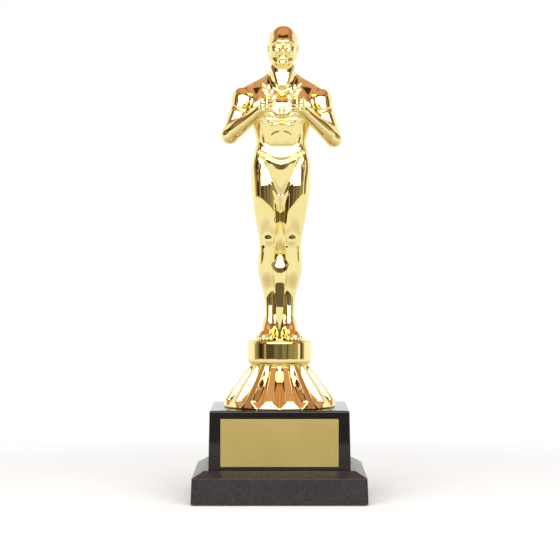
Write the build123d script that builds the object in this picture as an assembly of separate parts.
"""Figure trophy: a hollow moulded figure holding a wreath, on a foot disc, a fluted riser and a two-step
plastic base. One M6 stud clamps disc, riser, base and ballast together from below.

Units are millimetres. +Z is up, -Y is the front, and the origin is the middle of the face it stands on.
"""

from build123d import *
import os
from math import cos, radians, sin, tan

# Standing height of each layer
PAD_THICK = 0.8  # felt pads, which keep the plinth's rim off the shelf
PLINTH_HEIGHT = 20.5  # without the pads
PEDESTAL_HEIGHT = 37.4
RISER_HEIGHT = 27.3
DISC_HEIGHT = 16.0
FIGURE_HEIGHT = 203.8  # soles to crown

# Plinth: the low wide step, a shell open at the bottom
PLINTH_LEDGE = 2.75  # flat step left round the pedestal
PLINTH_DRAFT = 0.6  # how far each side leans in from bottom to slope
SLOPE_RISE = 4.3  # the sloping edge round the top
SLOPE_RUN = 7.4
PLINTH_WALL = 2.5
DECK_THICK = 3.0
PLINTH_CORNER = 0.7

# Pedestal: the tall step, a shell open at the bottom
PEDESTAL_WIDTH = 90.1
PEDESTAL_DEPTH = 80.0
PEDESTAL_DRAFT_DEG = 1.2
PEDESTAL_WALL = 2.6
PEDESTAL_ROOF = 3.0
PEDESTAL_ROUND = 1.2
LOCATING_RIB_HEIGHT = 3.0
LOCATING_RIB_THICK = 1.5
LOCATING_CLEARANCE = 0.2

# Base screws: four, up through the plinth's deck into posts in the pedestal
BASE_POST_INSET = 7.9  # from the pedestal's inner wall to a post's axis
BASE_POST_RADIUS = 4.0
BASE_SCREW_RADIUS = 1.4
BASE_SCREW_HEAD_RADIUS = 2.8
BASE_SCREW_HEAD = 2.0
BASE_SCREW_BITE = 8.0
SCREW_CLEARANCE = 0.3
PILOT_SPARE = 1.0  # pilot hole left free past a screw's tip

# Bottom cover with its corner posts, screws and felt pads
COVER_THICK = 2.0
COVER_CLEARANCE = 0.3
COVER_CORNER = 1.0
COVER_POST_INSET = 5.7  # from the plinth's inner wall to a post's axis
COVER_POST_RADIUS = 3.5
COVER_SCREW_RADIUS = 1.1
COVER_SCREW_HEAD_RADIUS = 2.4
COVER_SCREW_BITE = 8.0
PAD_INSET = 14.5  # from the cover's edge to a pad's middle
PAD_RADIUS = 7.0

# Ballast slab, with a pocket below for the stud's nut
BALLAST_SCREW_GAP = 1.7  # to the heads of the base screws
BALLAST_END_GAP = 5.4  # to the plinth's front and back walls
BALLAST_COVER_GAP = 4.5
BALLAST_CORNER = 3.0
NUT_POCKET_RADIUS = 11.0

# M6 stud and its hardware
STUD_RADIUS = 3.0
STUD_CLEARANCE = 0.3
STUD_CHAMFER = 0.6
STUD_PAST_NUT = 0.5
STUD_COVER_GAP = 1.3
NUT_FLATS = 10.0
NUT_HEIGHT = 5.0
WASHER_RADIUS = 9.0
WASHER_THICK = 1.6
LOCK_WASHER_RADIUS = 5.9
LOCK_WASHER_THICK = 1.6
LOCK_WASHER_SLIT = 1.4
LOCK_WASHER_SLIT_DEG = 25.0
BOSS_WALL = 3.2  # wall round the stud in the pedestal and the riser

# Engraving plate and its double-sided tape, on the pedestal's front face
PLATE_SIDE_MARGIN = 7.0
PLATE_TOP_MARGIN = 5.0
PLATE_FOOT_MARGIN = 2.0
PLATE_THICK = 0.6
PLATE_BEVEL = 0.25
TAPE_THICK = 0.2
TAPE_INSET = 1.5

# Fluted riser: a flared skirt, open at the bottom
RISER_LEDGE = 2.8  # from its rim to the pedestal's nearest top edge
RISER_RIM_HEIGHT = 4.9
RISER_FLARE_SAG = 0.5  # how far the flare hollows below a straight slope
RISER_FLUTES = 16
FLUTE_RADIUS = 4.2
FLUTE_DEPTH_TOP = 0.8
FLUTE_DEPTH_MID = 3.2
FLUTE_DEPTH_RIM = 3.1
RISER_WALL = 2.0
RISER_FOOT_WALL = 3.0
RISER_ROOF = 3.5

# Foot disc: the drum under the feet, with a moulded-in brass insert
DISC_TOE_MARGIN = 3.4  # past the toes
DISC_OVERHANG = 2.2  # past the riser's neck
DISC_TOP_ROUND = 2.0
DISC_FOOT_ROUND = 3.0
DISC_RIM_WALL = 6.8
DISC_BOSS_WALL = 3.5
DISC_ROOF = 5.0
INSERT_RADIUS = 4.5
INSERT_LENGTH = 10.0
STUD_FREE_END = 1.0  # hole left free above the stud

# Dowels from the disc into the ankles
DOWEL_RADIUS = 1.2
DOWEL_DOWN = 4.0
DOWEL_UP = 9.0

# Figure: front and back shells that meet on a flat seam. Its sections and joints below are drawn for a
# figure DRAWN_HEIGHT tall, and they grow with FIGURE_HEIGHT, while walls, pegs and dowels don't.
DRAWN_HEIGHT = 205.0
SEAM_Y = 3.0
SHELL_WALL = 1.8
LEG_CAVITY_FOOT = 48.0  # drawn height below which the legs are solid
ANKLE_X = 6.3
ANKLE_Y = 5.0
LEAN = 0.010  # sideways lean, per unit of height
SHELL_PEG_RADIUS = 1.5
SHELL_PEG_LENGTH = 3.0
SHELL_PEG_CLEARANCE = 0.1
SHELL_BOSS_RADIUS = 3.2
SHELL_PEGS = [(-7.5, 78.0), (7.5, 78.0), (-15.0, 150.0), (15.0, 150.0)]  # X and drawn height

# Wreath held in both hands: two leafy branches that bend up from a tie at the bottom and flare at the top
WREATH_BEND = 6.8  # radius of the bottom bend
WREATH_RISE = 5.0  # straight stretch above the bend, inside the hands
WREATH_FLARE = 16.0  # radius of the outward bend
WREATH_FLARE_DEG = 34.0
WREATH_STEM = 1.0
WREATH_TIE = 2.0
WREATH_HEIGHT = 147.2  # of the bottom bend's middle
WREATH_Y = -22.5
LEAF_PAIRS = 8  # on each branch
LEAF_LENGTH = 7.4
LEAF_WIDTH = 3.3
LEAF_THICK = 1.5
LEAF_SPREAD_DEG = 30.0
LEAF_OFFSET = 1.5  # of a leaf's middle from the stem's line

# The figure's cross-sections: height, half width, half depth, and the middle's X and Y
TRUNK = [
    (84.0, 9.0, 6.0, 0, 3.6),
    (92.0, 14.5, 8.4, 0, 3.6),
    (105.0, 19.2, 11.6, 0, 3.4),
    (117.0, 18.7, 10.2, 0, 2.2),
    (126.0, 16.5, 9.4, 0, 1.0),
    (139.0, 18.6, 10.8, 0, 1.0),
    (152.0, 22.0, 12.2, 0, 1.6),
    (162.0, 25.0, 10.0, 0, 3.0),
    (167.0, 21.0, 8.2, 0, 3.8),
    (171.0, 13.0, 7.4, 0, 3.8),
    (176.0, 8.6, 7.4, 0, 2.8),
    (186.0, 7.6, 7.8, 0, 0.8),
]
LEG = [
    (6.0, 4.6, 5.2, 6.3, 5.0),
    (21.0, 3.7, 4.6, 6.2, 4.6),
    (36.0, 5.4, 6.4, 7.2, 5.2),
    (49.0, 6.2, 7.4, 8.2, 4.6),
    (62.0, 5.8, 6.4, 7.6, 2.2),
    (78.0, 7.6, 8.4, 8.2, 2.0),
    (95.0, 8.9, 10.4, 9.4, 3.2),
    (107.0, 6.0, 7.0, 9.0, 3.6),
]
HEAD_Y = -0.8
HEAD_HALF_WIDTH = 10.6
HEAD_HALF_DEPTH = 12.2
HEAD_HALF_HEIGHT = 13.6
HEAD_TILT_DEG = 8.0

# The arms' joints: X, Y, height, radius
SHOULDER = (24.8, 3.6, 156.0, 7.6)
ELBOW = (33.8, -4.0, 133.2, 5.4)
WRIST = (13.8, -18.6, 148.4, 3.6)
HAND = (9.8, -21.1, 152.2, 4.4)

# The feet: a side view, with INSTEP as Y and height along its upper line, cut to an outline from above,
# with OUTLINE as X outward from the foot's middle and Y
FOOT_HEEL_Y = 12.0
FOOT_TOE_Y = -17.4
FOOT_WIDTH = 9.6
FOOT_OUTLINE = [
    (-3.2, 12.0), (3.2, 12.0), (4.8, -9.5), (3.6, -12.5), (-1.0, -17.4), (-4.6, -17.4), (-4.8, -8.0),
]
FOOT_OUT = 1.6  # how far its middle stands outside the ankle's
FOOT_TURN_DEG = 6.0
INSTEP = [(-11.0, 4.6), (-3.0, 8.0), (2.0, 12.0), (9.0, 12.0)]
TOE_HEIGHT = 3.4
HEEL_HEIGHT = 5.0
FOOT_ROUND = 1.2
LEG_WEB_HALF_THICK = 2.4  # the web that joins the legs, behind their front faces
LEG_WEB_Y = 6.0
LEG_WEB_TOP = 92.0

# Places and sizes worked out from the ones above
COVER_TOP_Z = PAD_THICK + COVER_THICK
PLINTH_TOP_Z = PAD_THICK + PLINTH_HEIGHT
SLOPE_FOOT_Z = PLINTH_TOP_Z - SLOPE_RISE
DECK_UNDER_Z = PLINTH_TOP_Z - DECK_THICK
PEDESTAL_TOP_Z = PLINTH_TOP_Z + PEDESTAL_HEIGHT
RISER_TOP_Z = PEDESTAL_TOP_Z + RISER_HEIGHT
SOLE_Z = RISER_TOP_Z + DISC_HEIGHT
PLINTH_SPREAD = PLINTH_LEDGE + SLOPE_RUN + PLINTH_DRAFT
PLINTH_WIDTH = PEDESTAL_WIDTH + 2 * PLINTH_SPREAD
PLINTH_DEPTH = PEDESTAL_DEPTH + 2 * PLINTH_SPREAD
PLINTH_INNER_X = PLINTH_WIDTH / 2 - PLINTH_DRAFT - PLINTH_WALL
PLINTH_INNER_Y = PLINTH_DEPTH / 2 - PLINTH_DRAFT - PLINTH_WALL
PEDESTAL_INNER_X = PEDESTAL_WIDTH / 2 - PEDESTAL_WALL
PEDESTAL_INNER_Y = PEDESTAL_DEPTH / 2 - PEDESTAL_WALL
PEDESTAL_LEAN = tan(radians(PEDESTAL_DRAFT_DEG))
PEDESTAL_TOP_X = PEDESTAL_WIDTH / 2 - PEDESTAL_HEIGHT * PEDESTAL_LEAN
PEDESTAL_TOP_Y = PEDESTAL_DEPTH / 2 - PEDESTAL_HEIGHT * PEDESTAL_LEAN
BASE_SCREW_X = PEDESTAL_INNER_X - BASE_POST_INSET
BASE_SCREW_Y = PEDESTAL_INNER_Y - BASE_POST_INSET
COVER_X = PLINTH_INNER_X - COVER_CLEARANCE
COVER_Y = PLINTH_INNER_Y - COVER_CLEARANCE
COVER_POST_X = PLINTH_INNER_X - COVER_POST_INSET
COVER_POST_Y = PLINTH_INNER_Y - COVER_POST_INSET
BALLAST_X = BASE_SCREW_X - BASE_SCREW_HEAD_RADIUS - BALLAST_SCREW_GAP
BALLAST_Y = PLINTH_INNER_Y - BALLAST_END_GAP
BALLAST_UNDER_Z = COVER_TOP_Z + BALLAST_COVER_GAP
STUD_HOLE_RADIUS = STUD_RADIUS + STUD_CLEARANCE
BOSS_RADIUS = STUD_HOLE_RADIUS + BOSS_WALL
STUD_BOTTOM_Z = COVER_TOP_Z + STUD_COVER_GAP
NUT_UNDER_Z = STUD_BOTTOM_Z + STUD_PAST_NUT
LOCK_WASHER_UNDER_Z = NUT_UNDER_Z + NUT_HEIGHT
WASHER_UNDER_Z = LOCK_WASHER_UNDER_Z + LOCK_WASHER_THICK
POCKET_ROOF_Z = WASHER_UNDER_Z + WASHER_THICK
INSERT_TOP_Z = RISER_TOP_Z + INSERT_LENGTH
STUD_TOP_Z = INSERT_TOP_Z - STUD_FREE_END
PLATE_WIDTH = 2 * (PEDESTAL_TOP_X - PLATE_SIDE_MARGIN)
PLATE_HEIGHT = PEDESTAL_HEIGHT - PLATE_TOP_MARGIN - PLATE_FOOT_MARGIN
GROWTH = FIGURE_HEIGHT / DRAWN_HEIGHT
DISC_RADIUS = GROWTH * -FOOT_TOE_Y + DISC_TOE_MARGIN
RISER_TOP_RADIUS = DISC_RADIUS - DISC_OVERHANG
RISER_FOOT_RADIUS = min(PEDESTAL_TOP_X, PEDESTAL_TOP_Y) - RISER_LEDGE


def upright(x, y, low, high, radius):
    """A vertical cylinder at (x, y) from one height to another."""
    return Pos(x, y, low) * extrude(Circle(radius), amount=high - low)


def slab(half_width, half_depth, low, high, corner=0.0):
    """A flat-sided block centred on the Z axis."""
    width, depth = 2 * half_width, 2 * half_depth
    outline = RectangleRounded(width, depth, corner) if corner else Rectangle(width, depth)
    return Pos(0, 0, low) * extrude(outline, amount=high - low)


def tapered(low_x, low_y, low, high_x, high_y, high):
    """A block whose half width and half depth change evenly from one height to another."""
    bottom = Pos(0, 0, low) * Rectangle(2 * low_x, 2 * low_y)
    top = Pos(0, 0, high) * Rectangle(2 * high_x, 2 * high_y)
    return loft([bottom, top])


def four_corners(x, y):
    return [(side * x, end * y) for side in (-1, 1) for end in (-1, 1)]


def plinth_form(inset, top):
    """The plinth's outline up to a height, pulled in by inset all round."""
    x, y = PLINTH_WIDTH / 2 - inset, PLINTH_DEPTH / 2 - inset
    side_top = min(SLOPE_FOOT_Z, top)
    form = tapered(x, y, PAD_THICK, x - PLINTH_DRAFT, y - PLINTH_DRAFT, side_top)
    if top > SLOPE_FOOT_Z:
        x, y = x - PLINTH_DRAFT, y - PLINTH_DRAFT
        run = SLOPE_RUN * (top - SLOPE_FOOT_Z) / SLOPE_RISE
        form += tapered(x, y, SLOPE_FOOT_Z, x - run, y - run, top)
    return form


def plinth():
    shell = plinth_form(0, PLINTH_TOP_Z)
    corners = shell.edges().filter_by(lambda e: e.bounding_box().size.Z > SLOPE_FOOT_Z / 2)
    shell = fillet(corners, PLINTH_CORNER) - plinth_form(PLINTH_WALL, DECK_UNDER_Z)
    rib_x, rib_y = PEDESTAL_INNER_X - LOCATING_CLEARANCE, PEDESTAL_INNER_Y - LOCATING_CLEARANCE
    rib_top = PLINTH_TOP_Z + LOCATING_RIB_HEIGHT
    shell += slab(rib_x, rib_y, PLINTH_TOP_Z, rib_top)
    shell -= slab(rib_x - LOCATING_RIB_THICK, rib_y - LOCATING_RIB_THICK, PLINTH_TOP_Z, rib_top)
    for x, y in four_corners(COVER_POST_X, COVER_POST_Y):
        shell += upright(x, y, COVER_TOP_Z, DECK_UNDER_Z, COVER_POST_RADIUS)
        pilot_top = COVER_TOP_Z + COVER_SCREW_BITE + PILOT_SPARE
        shell -= upright(x, y, COVER_TOP_Z, pilot_top, COVER_SCREW_RADIUS)
    for x, y in four_corners(BASE_SCREW_X, BASE_SCREW_Y):
        shell -= upright(x, y, DECK_UNDER_Z, PLINTH_TOP_Z, BASE_SCREW_RADIUS + SCREW_CLEARANCE)
    return shell - upright(0, 0, DECK_UNDER_Z, PLINTH_TOP_Z, STUD_HOLE_RADIUS)


def pedestal():
    outline = Pos(0, 0, PLINTH_TOP_Z) * Rectangle(PEDESTAL_WIDTH, PEDESTAL_DEPTH)
    block = extrude(outline, amount=PEDESTAL_HEIGHT, taper=PEDESTAL_DRAFT_DEG)
    soft_edges = block.edges() - block.edges().group_by(Axis.Z)[0]
    block = fillet(soft_edges, PEDESTAL_ROUND)
    inner = Pos(0, 0, PLINTH_TOP_Z) * Rectangle(2 * PEDESTAL_INNER_X, 2 * PEDESTAL_INNER_Y)
    block -= extrude(inner, amount=PEDESTAL_HEIGHT - PEDESTAL_ROOF, taper=PEDESTAL_DRAFT_DEG)
    roof_under = PEDESTAL_TOP_Z - PEDESTAL_ROOF
    block += upright(0, 0, PLINTH_TOP_Z, roof_under, BOSS_RADIUS)
    for x, y in four_corners(BASE_SCREW_X, BASE_SCREW_Y):
        block += upright(x, y, PLINTH_TOP_Z, roof_under, BASE_POST_RADIUS)
        pilot_top = PLINTH_TOP_Z + BASE_SCREW_BITE + PILOT_SPARE
        block -= upright(x, y, PLINTH_TOP_Z, pilot_top, BASE_SCREW_RADIUS)
    return block - upright(0, 0, PLINTH_TOP_Z, PEDESTAL_TOP_Z, STUD_HOLE_RADIUS)


def base_screws():
    screws = []
    for x, y in four_corners(BASE_SCREW_X, BASE_SCREW_Y):
        head = upright(x, y, DECK_UNDER_Z - BASE_SCREW_HEAD, DECK_UNDER_Z, BASE_SCREW_HEAD_RADIUS)
        shank = upright(x, y, DECK_UNDER_Z, PLINTH_TOP_Z + BASE_SCREW_BITE, BASE_SCREW_RADIUS)
        screws.append(head + shank)
    return Compound(screws)


def countersink(x, y):
    """The cone of a cover screw's head, which is also its seat in the cover."""
    rise = COVER_SCREW_HEAD_RADIUS - COVER_SCREW_RADIUS
    low = Pos(x, y, PAD_THICK) * Circle(COVER_SCREW_HEAD_RADIUS)
    high = Pos(x, y, PAD_THICK + rise) * Circle(COVER_SCREW_RADIUS)
    return loft([low, high])


def bottom_cover():
    cover = slab(COVER_X, COVER_Y, PAD_THICK, COVER_TOP_Z, COVER_CORNER)
    for x, y in four_corners(COVER_POST_X, COVER_POST_Y):
        cover -= countersink(x, y)
        cover -= upright(x, y, PAD_THICK, COVER_TOP_Z, COVER_SCREW_RADIUS + SCREW_CLEARANCE)
    return cover


def cover_screws():
    screws = []
    for x, y in four_corners(COVER_POST_X, COVER_POST_Y):
        shank = upright(x, y, PAD_THICK, COVER_TOP_Z + COVER_SCREW_BITE, COVER_SCREW_RADIUS)
        screws.append(countersink(x, y) + shank)
    return Compound(screws)


def felt_pads():
    places = four_corners(COVER_X - PAD_INSET, COVER_Y - PAD_INSET)
    return Compound([upright(x, y, 0, PAD_THICK, PAD_RADIUS) for x, y in places])


def ballast():
    block = slab(BALLAST_X, BALLAST_Y, BALLAST_UNDER_Z, DECK_UNDER_Z, BALLAST_CORNER)
    block -= upright(0, 0, BALLAST_UNDER_Z, POCKET_ROOF_Z, NUT_POCKET_RADIUS)
    return block - upright(0, 0, BALLAST_UNDER_Z, DECK_UNDER_Z, STUD_HOLE_RADIUS)


def stud():
    rod = upright(0, 0, STUD_BOTTOM_Z, STUD_TOP_Z, STUD_RADIUS)
    return chamfer(rod.edges().filter_by(GeomType.CIRCLE), STUD_CHAMFER)


def hex_nut():
    outline = RegularPolygon(NUT_FLATS / 2, 6, major_radius=False)
    nut = Pos(0, 0, NUT_UNDER_Z) * extrude(outline, amount=NUT_HEIGHT)
    return nut - upright(0, 0, NUT_UNDER_Z, LOCK_WASHER_UNDER_Z, STUD_RADIUS)


def ring(low, high, radius):
    """A washer round the stud."""
    return upright(0, 0, low, high, radius) - upright(0, 0, low, high, STUD_HOLE_RADIUS)


def lock_washer():
    middle_z = LOCK_WASHER_UNDER_Z + LOCK_WASHER_THICK / 2
    slit = Box(2 * LOCK_WASHER_RADIUS, LOCK_WASHER_SLIT, 4 * LOCK_WASHER_THICK)
    slit = Pos(LOCK_WASHER_RADIUS, 0, middle_z) * Rot(LOCK_WASHER_SLIT_DEG, 0, 0) * slit
    return ring(LOCK_WASHER_UNDER_Z, WASHER_UNDER_Z, LOCK_WASHER_RADIUS) - slit


def front_face(distance):
    """The pedestal's front face at the plate's centre, pushed outward by a distance."""
    height = PLATE_FOOT_MARGIN + PLATE_HEIGHT / 2
    centre = Vector(0, height * PEDESTAL_LEAN - PEDESTAL_DEPTH / 2, PLINTH_TOP_Z + height)
    outward = Vector(0, -1, PEDESTAL_LEAN).normalized()
    return Plane(centre + outward * distance, x_dir=(1, 0, 0), z_dir=outward)


def tape():
    outline = Rectangle(PLATE_WIDTH - 2 * TAPE_INSET, PLATE_HEIGHT - 2 * TAPE_INSET)
    return extrude(front_face(0) * outline, amount=TAPE_THICK)


def engraving_plate():
    plane = front_face(TAPE_THICK)
    plate = extrude(plane * Rectangle(PLATE_WIDTH, PLATE_HEIGHT), amount=PLATE_THICK)
    face = plate.faces().sort_by(Axis.Y)[0]
    return chamfer(face.edges(), PLATE_BEVEL)


def riser_flare():
    """Three points of the riser's outer slope, from the rim up to the neck, with the outward normal."""
    rim = Vector(RISER_FOOT_RADIUS, 0, PEDESTAL_TOP_Z + RISER_RIM_HEIGHT)
    neck = Vector(RISER_TOP_RADIUS, 0, RISER_TOP_Z)
    slope = (neck - rim).normalized()
    outward = Vector(slope.Z, 0, -slope.X)
    middle = (rim + neck) / 2 - outward * RISER_FLARE_SAG
    return rim, middle, neck, outward


def circle_through(a, b, c):
    """Centre and radius, in the XZ plane, of the circle through three points."""
    turn = 2 * (a.X * (b.Z - c.Z) + b.X * (c.Z - a.Z) + c.X * (a.Z - b.Z))
    squares = [p.X**2 + p.Z**2 for p in (a, b, c)]
    x = (squares[0] * (b.Z - c.Z) + squares[1] * (c.Z - a.Z) + squares[2] * (a.Z - b.Z)) / turn
    z = (squares[0] * (c.X - b.X) + squares[1] * (a.X - c.X) + squares[2] * (b.X - a.X)) / turn
    centre = Vector(x, 0, z)
    return centre, (a - centre).length


def riser():
    rim, middle, neck, outward = riser_flare()
    foot_z, roof_under = PEDESTAL_TOP_Z, RISER_TOP_Z - RISER_ROOF
    outline = Polyline((0, 0, RISER_TOP_Z), (0, 0, foot_z), (rim.X, 0, foot_z), rim)
    outline += ThreePointArc(rim, middle, neck) + Line(neck, (0, 0, RISER_TOP_Z))
    skirt = revolve(make_face(outline), Axis.Z)
    depths = (FLUTE_DEPTH_RIM, FLUTE_DEPTH_MID, FLUTE_DEPTH_TOP)
    path = [p + outward * (FLUTE_RADIUS - d) for p, d in zip((rim, middle, neck), depths)]
    centre, bend = circle_through(*path)
    scoop = Pos(centre) * Rot(90, 0, 0) * Torus(bend, FLUTE_RADIUS)
    for k in range(RISER_FLUTES):
        skirt -= Rot(0, 0, -90 + k * 360 / RISER_FLUTES) * scoop
    inner_rim = Vector(rim.X - FLUTE_DEPTH_RIM - RISER_FOOT_WALL, 0, foot_z)
    inner_middle = middle - outward * (FLUTE_DEPTH_MID + RISER_WALL)
    inner_neck = Vector(neck.X - FLUTE_DEPTH_TOP - RISER_WALL, 0, roof_under)
    hollow = Polyline((0, 0, roof_under), (0, 0, foot_z), inner_rim)
    hollow += ThreePointArc(inner_rim, inner_middle, inner_neck) + Line(inner_neck, (0, 0, roof_under))
    skirt -= revolve(make_face(hollow), Axis.Z)
    skirt += upright(0, 0, foot_z, roof_under, BOSS_RADIUS)
    return skirt - upright(0, 0, foot_z, RISER_TOP_Z, STUD_HOLE_RADIUS)


def ankles():
    """X and Y of each ankle's dowel."""
    return [(mirror * ANKLE_X * GROWTH, ANKLE_Y * GROWTH) for mirror in (-1, 1)]


def foot_disc():
    drum = upright(0, 0, RISER_TOP_Z, SOLE_Z, DISC_RADIUS)
    foot_edge, top_edge = drum.edges().filter_by(GeomType.CIRCLE).sort_by(Axis.Z)
    drum = fillet(top_edge, DISC_TOP_ROUND)
    foot_edge = drum.edges().filter_by(GeomType.CIRCLE).sort_by(Axis.Z)[0]
    drum = fillet(foot_edge, DISC_FOOT_ROUND)
    groove_top = SOLE_Z - DISC_ROOF
    groove = upright(0, 0, RISER_TOP_Z, groove_top, DISC_RADIUS - DISC_RIM_WALL)
    drum -= groove - upright(0, 0, RISER_TOP_Z, groove_top, INSERT_RADIUS + DISC_BOSS_WALL)
    for x, y in ankles():
        drum -= upright(x, y, SOLE_Z - DOWEL_DOWN, SOLE_Z, DOWEL_RADIUS)
    return drum - upright(0, 0, RISER_TOP_Z, INSERT_TOP_Z, INSERT_RADIUS)


def threaded_insert():
    sleeve = upright(0, 0, RISER_TOP_Z, INSERT_TOP_Z, INSERT_RADIUS)
    return sleeve - upright(0, 0, RISER_TOP_Z, INSERT_TOP_Z, STUD_RADIUS)


def ankle_dowels():
    low, high = SOLE_Z - DOWEL_DOWN, SOLE_Z + DOWEL_UP
    return Compound([upright(x, y, low, high, DOWEL_RADIUS) for x, y in ankles()])


def spot(x, y, height):
    """A place on the figure, given at its drawn size and measured from the soles."""
    return Vector((x + LEAN * height) * GROWTH, y * GROWTH, SOLE_Z + height * GROWTH)


def stacked(sections, mirror=1, inset=0.0):
    """A smooth form through elliptical cross-sections, pulled in by inset."""
    slices = []
    for height, half_width, half_depth, x, y in sections:
        outline = Ellipse(half_width * GROWTH - inset, half_depth * GROWTH - inset)
        slices.append(Pos(spot(mirror * x, y, height)) * outline)
    return loft(slices)


def limb(start, end, mirror):
    """A tapering limb with round ends between two joints."""
    a = spot(mirror * start[0], start[1], start[2])
    b = spot(mirror * end[0], end[1], end[2])
    a_radius, b_radius = start[3] * GROWTH, end[3] * GROWTH
    length = (b - a).length
    shaft = Plane(a, z_dir=b - a) * Pos(0, 0, length / 2) * Cone(a_radius, b_radius, length)
    return shaft + Pos(a) * Sphere(a_radius) + Pos(b) * Sphere(b_radius)


def arm(mirror):
    return limb(SHOULDER, ELBOW, mirror) + limb(ELBOW, WRIST, mirror) + limb(WRIST, HAND, mirror)


def foot(mirror):
    heel = [(FOOT_HEEL_Y, HEEL_HEIGHT), (FOOT_HEEL_Y, 0)]
    outline = Polyline((FOOT_TOE_Y, 0), (FOOT_TOE_Y, TOE_HEIGHT), *INSTEP, *heel, close=True)
    block = extrude(Plane.YZ * make_face(outline), amount=FOOT_WIDTH / 2, both=True)
    upper = [e for e in block.edges() if e.bounding_box().min.Z > TOE_HEIGHT / 2]
    sides = [e for e in upper if e.bounding_box().size.X < FOOT_WIDTH / 2]
    around = make_face(Polyline(*[(mirror * x, y) for x, y in FOOT_OUTLINE], close=True))
    block = fillet(sides, FOOT_ROUND) & extrude(around, amount=DRAWN_HEIGHT)
    block = Rot(0, 0, mirror * FOOT_TURN_DEG) * block
    return Pos(0, 0, SOLE_Z) * scale(Pos(mirror * (ANKLE_X + FOOT_OUT), 0, 0) * block, GROWTH)


def head(inset=0.0):
    sizes = (HEAD_HALF_WIDTH, HEAD_HALF_DEPTH, HEAD_HALF_HEIGHT)
    skull = scale(Sphere(1), by=tuple(size * GROWTH - inset for size in sizes))
    return Pos(spot(0, HEAD_Y, DRAWN_HEIGHT - HEAD_HALF_HEIGHT)) * Rot(HEAD_TILT_DEG, 0, 0) * skull


def figure_body():
    web = Box(2 * ANKLE_X * GROWTH, 2 * LEG_WEB_HALF_THICK * GROWTH, LEG_WEB_TOP * GROWTH)
    body = stacked(TRUNK) + head()
    body += Pos(0, LEG_WEB_Y * GROWTH, SOLE_Z + LEG_WEB_TOP * GROWTH / 2) * web
    for mirror in (-1, 1):
        body += stacked(LEG, mirror)
        body += foot(mirror)
        body += arm(mirror)
    return body


def figure_hollow():
    inside = stacked(TRUNK, inset=SHELL_WALL) + head(SHELL_WALL)
    hollow_leg = [section for section in LEG if section[0] >= LEG_CAVITY_FOOT]
    for mirror in (-1, 1):
        inside += stacked(hollow_leg, mirror, inset=SHELL_WALL)
    return inside


def figure_shells():
    """The front and back shells, split on the seam, with pegs on the front and sockets in the back."""
    hollow = figure_hollow()
    walls = figure_body() - hollow
    for x, y in ankles():
        walls -= upright(x, y, SOLE_Z, SOLE_Z + DOWEL_UP, DOWEL_RADIUS)
    seats = [Plane(spot(x, SEAM_Y, height), z_dir=(0, 1, 0)) for x, height in SHELL_PEGS]
    reach = 2 * FIGURE_HEIGHT
    for seat in seats:
        walls += extrude(seat * Circle(SHELL_BOSS_RADIUS), amount=reach, both=True) & hollow
    seam = spot(0, SEAM_Y, DRAWN_HEIGHT / 2)
    behind = Pos(seam) * Pos(0, reach / 2, 0) * Box(reach, reach, reach)
    front, back = walls - behind, walls & behind
    socket_depth = SHELL_PEG_LENGTH + SHELL_PEG_CLEARANCE
    for seat in seats:
        front += extrude(seat * Circle(SHELL_PEG_RADIUS), amount=SHELL_PEG_LENGTH)
        back -= extrude(seat * Circle(SHELL_PEG_RADIUS + SHELL_PEG_CLEARANCE), amount=socket_depth)
    return front, back


def branch_line():
    """The line of one branch, about the middle of its bottom bend: round, straight up, then outward."""
    half_turn = radians(45)
    halfway = Vector(WREATH_BEND * sin(half_turn), 0, -WREATH_BEND * cos(half_turn))
    side, grip = Vector(WREATH_BEND, 0, 0), Vector(WREATH_BEND, 0, WREATH_RISE)

    def flared(degrees):
        turn = radians(degrees)
        return grip + Vector(WREATH_FLARE * (1 - cos(turn)), 0, WREATH_FLARE * sin(turn))

    flare = ThreePointArc(grip, flared(WREATH_FLARE_DEG / 2), flared(WREATH_FLARE_DEG))
    return Wire([ThreePointArc((0, 0, -WREATH_BEND), halfway, side), Line(side, grip), flare])


def leaf(line, share, side):
    """A leaf at a share of the branch's length: side is 1 outside the branch and -1 inside it."""
    place = Plane(line @ share, x_dir=(line % share).cross(Vector(0, 1, 0)), z_dir=line % share)
    blade = scale(Sphere(1), by=(LEAF_WIDTH / 2, LEAF_THICK / 2, LEAF_LENGTH / 2))
    return place * Pos(-side * LEAF_OFFSET, 0, 0) * Rot(0, -side * LEAF_SPREAD_DEG, 0) * blade


def wreath():
    """Two leafy branches that meet in a tie at the bottom."""
    line = branch_line()
    branch = sweep(Plane(line @ 0, z_dir=line % 0) * Circle(WREATH_STEM), path=line)
    for k in range(LEAF_PAIRS):
        share = (k + 0.5) / LEAF_PAIRS
        for side in (-1, 1):
            branch += leaf(line, share, side)
    both = branch + branch.mirror(Plane.YZ) + Pos(0, 0, -WREATH_BEND) * Sphere(WREATH_TIE)
    return Pos(spot(0, WREATH_Y, WREATH_HEIGHT)) * scale(both, GROWTH)


def main():
    os.makedirs("parts", exist_ok=True)
    front_shell, back_shell = figure_shells()
    held_wreath = wreath()
    parts = {
        "plinth": plinth(),
        "pedestal": pedestal(),
        "base_screws": base_screws(),
        "bottom_cover": bottom_cover(),
        "cover_screws": cover_screws(),
        "felt_pads": felt_pads(),
        "ballast": ballast(),
        "stud": stud(),
        "stud_nut": hex_nut(),
        "stud_washer": ring(WASHER_UNDER_Z, POCKET_ROOF_Z, WASHER_RADIUS),
        "lock_washer": lock_washer(),
        "engraving_plate": engraving_plate(),
        "plate_tape": tape(),
        "fluted_riser": riser(),
        "foot_disc": foot_disc(),
        "threaded_insert": threaded_insert(),
        "ankle_dowels": ankle_dowels(),
        "figure_front": front_shell - held_wreath,
        "figure_back": back_shell,
        "laurel_wreath": held_wreath,
    }
    for name, shape in parts.items():
        export_step(shape, f"parts/{name}.step")


main()
